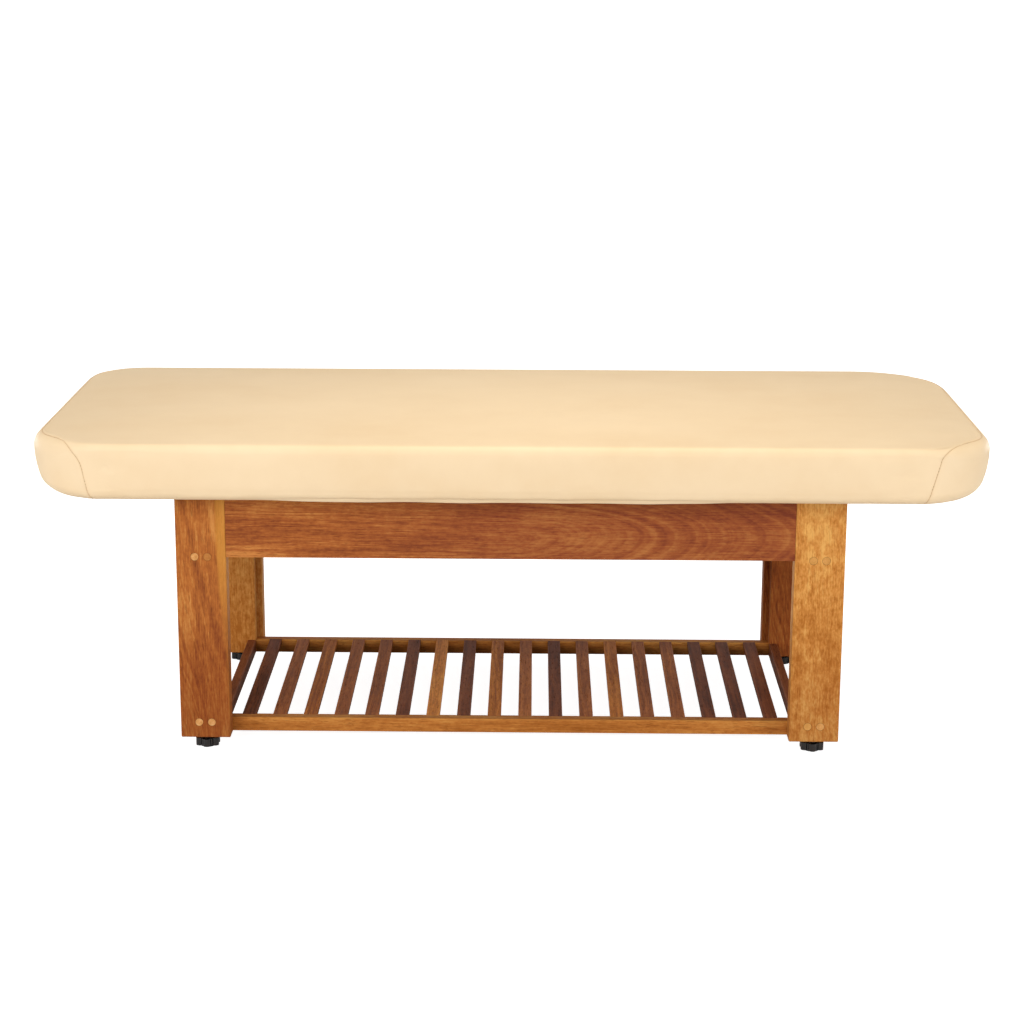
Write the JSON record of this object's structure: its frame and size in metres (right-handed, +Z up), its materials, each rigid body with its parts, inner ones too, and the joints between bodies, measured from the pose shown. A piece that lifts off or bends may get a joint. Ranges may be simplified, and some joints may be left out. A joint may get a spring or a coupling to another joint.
{
  "type": "spa bed",
  "caption": "Long padded spa bed on an open hardwood frame with aprons, a slatted low shelf and screw-in levelling feet.",
  "frame": {"origin": "on the floor, below the middle of the bed", "axes": "+X along the bed, the front faces -Y, +Z up"},
  "size_m": [1.93, 0.838, 0.6729],
  "materials": {
    "leg_wood_red": "oiled, satin",
    "leg_wood_gold": "oiled, satin",
    "apron_wood": "oiled, satin",
    "rail_wood": "oiled, satin",
    "slat_wood": "oiled, satin",
    "plug_wood": "oiled, satin",
    "inner_wood": "bare",
    "plywood": "bare",
    "steel": "zinc plated",
    "foot_plastic": "gloss",
    "foot_rubber": "matte",
    "vinyl": "smooth soft sheen",
    "dust_cloth": "matte",
    "firm_foam": "open cell foam",
    "soft_foam": "open cell foam"
  },
  "bodies": {
    "bed": {"front_left_leg_board": "leg_wood_red", "back_right_leg_board": "leg_wood_red", "front_right_leg_board": "leg_wood_gold", "back_left_leg_board": "leg_wood_gold", "front_right_leg_block": "leg_wood_gold", "back_left_leg_block": "leg_wood_gold", "front_left_leg_block": "leg_wood_red", "back_right_leg_block": "leg_wood_red", "front_apron": "apron_wood", "back_apron": "apron_wood", "left_apron": "apron_wood", "right_apron": "apron_wood", "front_shelf_rail": "rail_wood", "back_shelf_rail": "rail_wood", "left_shelf_rail": "rail_wood", "right_shelf_rail": "rail_wood", "shelf_slat_01": "slat_wood", "shelf_slat_02": "slat_wood", "shelf_slat_03": "slat_wood", "shelf_slat_04": "slat_wood", "shelf_slat_05": "slat_wood", "shelf_slat_06": "slat_wood", "shelf_slat_07": "slat_wood", "shelf_slat_08": "slat_wood", "shelf_slat_09": "slat_wood", "shelf_slat_10": "slat_wood", "shelf_slat_11": "slat_wood", "shelf_slat_12": "slat_wood", "shelf_slat_13": "slat_wood", "shelf_slat_14": "slat_wood", "shelf_slat_15": "slat_wood", "shelf_slat_16": "slat_wood", "shelf_slat_17": "slat_wood", "shelf_slat_18": "slat_wood", "screw_plugs": "plug_wood", "dowels": "inner_wood", "deck_cleats": "inner_wood", "deck_bearers": "inner_wood", "deck_board": "plywood", "leg_screws": "steel", "deck_screws": "steel", "foot_inserts": "steel", "main_cover": "vinyl", "left_end_cover": "vinyl", "right_end_cover": "vinyl", "dust_cover": "dust_cloth", "firm_foam": "firm_foam", "soft_foam": "soft_foam"},
    "front_left_pad": {"front_left_foot_pad": "foot_rubber"},
    "front_left_screw": {"front_left_foot_knob": "foot_plastic", "front_left_foot_stem": "steel"},
    "front_right_pad": {"front_right_foot_pad": "foot_rubber"},
    "front_right_screw": {"front_right_foot_knob": "foot_plastic", "front_right_foot_stem": "steel"},
    "back_left_pad": {"back_left_foot_pad": "foot_rubber"},
    "back_left_screw": {"back_left_foot_knob": "foot_plastic", "back_left_foot_stem": "steel"},
    "back_right_pad": {"back_right_foot_pad": "foot_rubber"},
    "back_right_screw": {"back_right_foot_knob": "foot_plastic", "back_right_foot_stem": "steel"}
  },
  "joints": [
    {"name": "front_left_foot_slide", "type": "slide", "parent": "bed", "child": "front_left_pad", "axis": [0, 0, -1], "range_m": [0, 0.012]},
    {"name": "front_left_foot_turn", "type": "hinge", "parent": "front_left_pad", "child": "front_left_screw", "pos_m": [-0.626, -0.295, 0.01], "axis": [0, 0, -1], "range_deg": [0, 2880]},
    {"name": "front_right_foot_slide", "type": "slide", "parent": "bed", "child": "front_right_pad", "axis": [0, 0, -1], "range_m": [0, 0.012]},
    {"name": "front_right_foot_turn", "type": "hinge", "parent": "front_right_pad", "child": "front_right_screw", "pos_m": [0.626, -0.295, 0.01], "axis": [0, 0, -1], "range_deg": [0, 2880]},
    {"name": "back_left_foot_slide", "type": "slide", "parent": "bed", "child": "back_left_pad", "axis": [0, 0, -1], "range_m": [0, 0.012]},
    {"name": "back_left_foot_turn", "type": "hinge", "parent": "back_left_pad", "child": "back_left_screw", "pos_m": [-0.626, 0.295, 0.01], "axis": [0, 0, -1], "range_deg": [0, 2880]},
    {"name": "back_right_foot_slide", "type": "slide", "parent": "bed", "child": "back_right_pad", "axis": [0, 0, -1], "range_m": [0, 0.012]},
    {"name": "back_right_foot_turn", "type": "hinge", "parent": "back_right_pad", "child": "back_right_screw", "pos_m": [0.626, 0.295, 0.01], "axis": [0, 0, -1], "range_deg": [0, 2880]}
  ],
  "couplings": [
    {"joint": "front_left_foot_slide", "follows": "front_left_foot_turn", "m_per_rad": 0.00023873},
    {"joint": "front_right_foot_slide", "follows": "front_right_foot_turn", "m_per_rad": 0.00023873},
    {"joint": "back_left_foot_slide", "follows": "back_left_foot_turn", "m_per_rad": 0.00023873},
    {"joint": "back_right_foot_slide", "follows": "back_right_foot_turn", "m_per_rad": 0.00023873}
  ]
}
